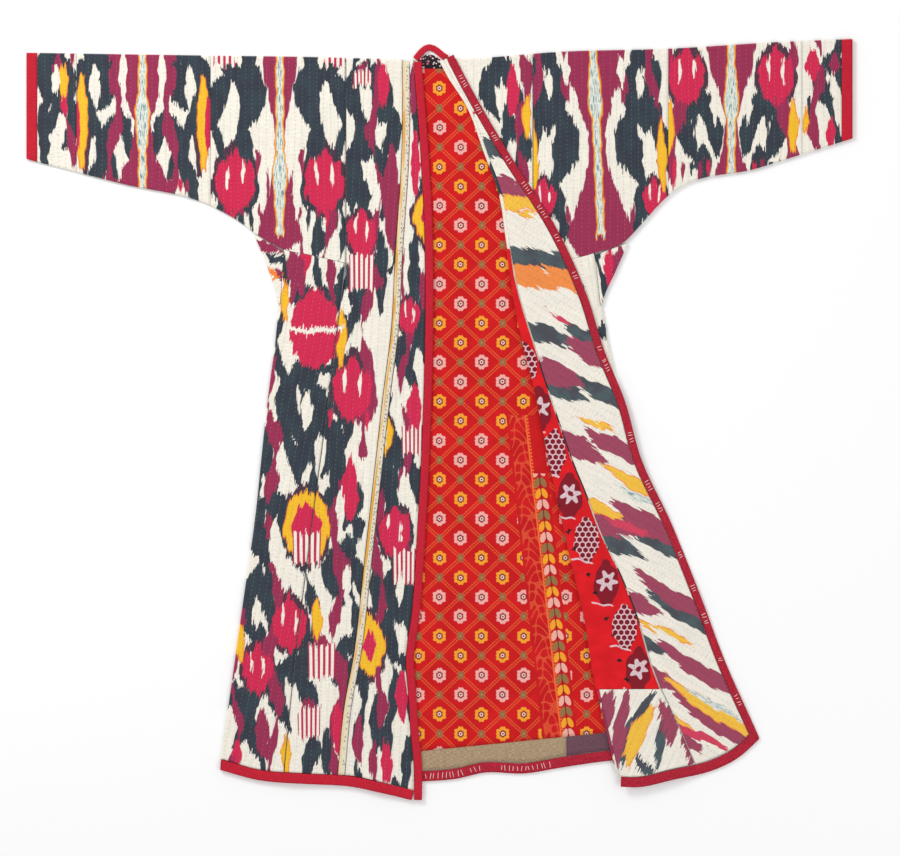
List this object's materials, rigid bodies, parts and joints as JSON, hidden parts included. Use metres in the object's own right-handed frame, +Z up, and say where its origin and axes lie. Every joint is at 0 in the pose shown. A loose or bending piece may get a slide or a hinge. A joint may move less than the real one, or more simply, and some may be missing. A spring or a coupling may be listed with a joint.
{
  "type": "uzbek chapan robe, laid flat and open",
  "caption": "Quilted ikat robe laid flat, front up, with its right front folded open to show a printed lining.",
  "frame": {"origin": "centre of the robe's outline, on the surface it lies on", "axes": "+X along the sleeves, +Y from the hem to the neck, +Z up out of the surface"},
  "size_m": [1.4443, 1.3306, 0.0149],
  "materials": {
    "ikat": "satin",
    "binding": "matte",
    "lining": "matte",
    "beige_cloth": "matte",
    "grey_purple_cloth": "matte",
    "flowered_cloth": "matte",
    "stitched_tape": "matte"
  },
  "bodies": {
    "root": {"back_hem_facing": "beige_cloth", "back_hem_piece": "grey_purple_cloth", "back_left": "ikat", "back_lining": "lining", "back_right": "ikat", "cuff_binding_left": "binding", "cuff_binding_right": "binding", "flap_facing": "ikat", "flap_hem_facing": "ikat", "flap_lining": "lining", "front_binding_left": "binding", "front_binding_right": "binding", "front_gore_left": "ikat", "front_gore_right": "ikat", "front_left": "ikat", "front_right": "ikat", "gusset_left": "ikat", "gusset_right": "ikat", "hem_binding_back": "binding", "hem_binding_flap": "binding", "hem_binding_left": "binding", "neck_binding": "binding", "neck_facing": "flowered_cloth", "seam_tape_left": "stitched_tape", "side_gore_left": "ikat", "side_gore_right": "ikat", "sleeve_left_end": "ikat", "sleeve_left_inner": "ikat", "sleeve_left_middle": "ikat", "sleeve_right_end": "ikat", "sleeve_right_inner": "ikat", "sleeve_right_middle": "ikat"}
  },
  "joints": []
}
